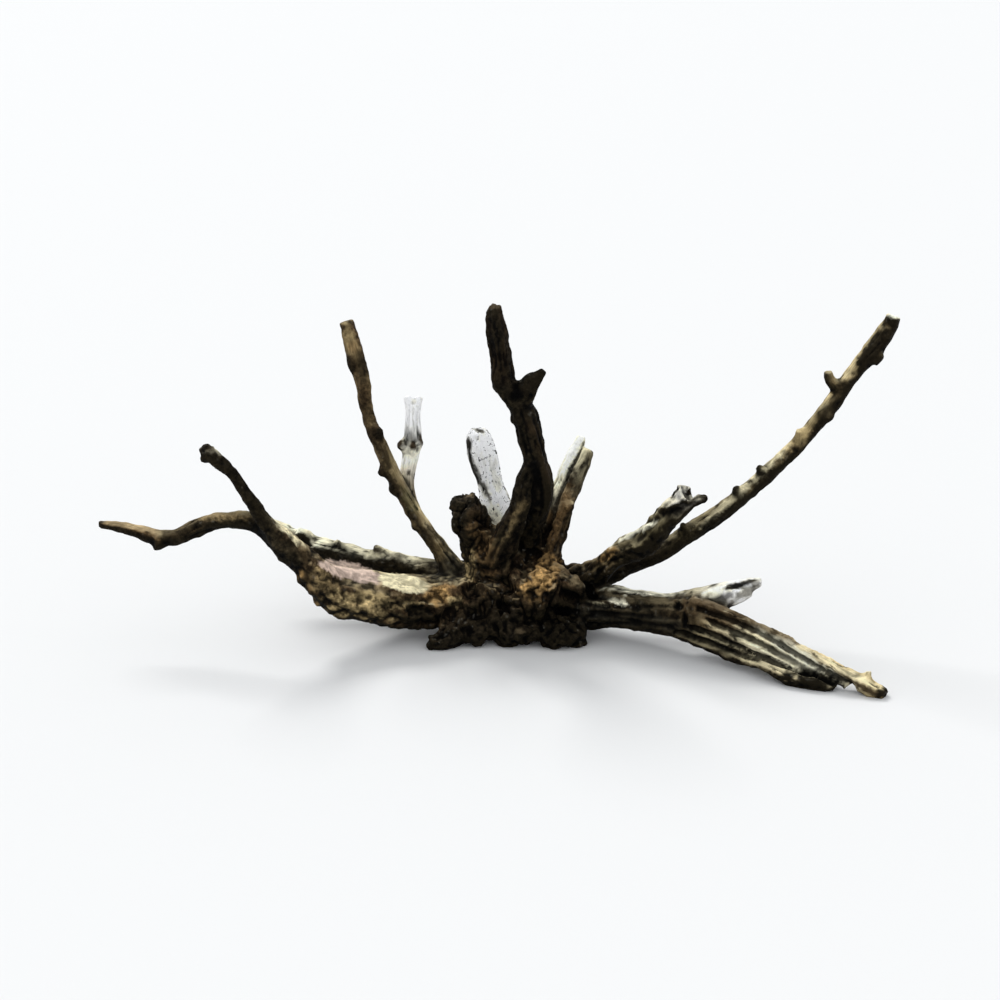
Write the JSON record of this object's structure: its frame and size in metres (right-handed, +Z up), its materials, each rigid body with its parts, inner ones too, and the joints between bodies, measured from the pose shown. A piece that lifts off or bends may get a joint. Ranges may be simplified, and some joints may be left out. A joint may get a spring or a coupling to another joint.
{
  "type": "piece of driftwood",
  "caption": "Piece of driftwood: a gnarled root crown that stands on short feet, with weathered, twisting bare limbs spreading up and outwards from it.",
  "frame": {"origin": "on the surface that the driftwood rests on, under the middle of its box", "axes": "+X to the right in the picture, from the low forked limb towards the long curved limb; +Y away from the camera; +Z up"},
  "size_m": [0.5954, 0.1964, 0.2628],
  "materials": {
    "wood": "weathered and bare: dark brown bark on the crown, pale dry wood on the limbs, matt"
  },
  "bodies": {
    "root": {"driftwood": "wood"}
  },
  "joints": []
}
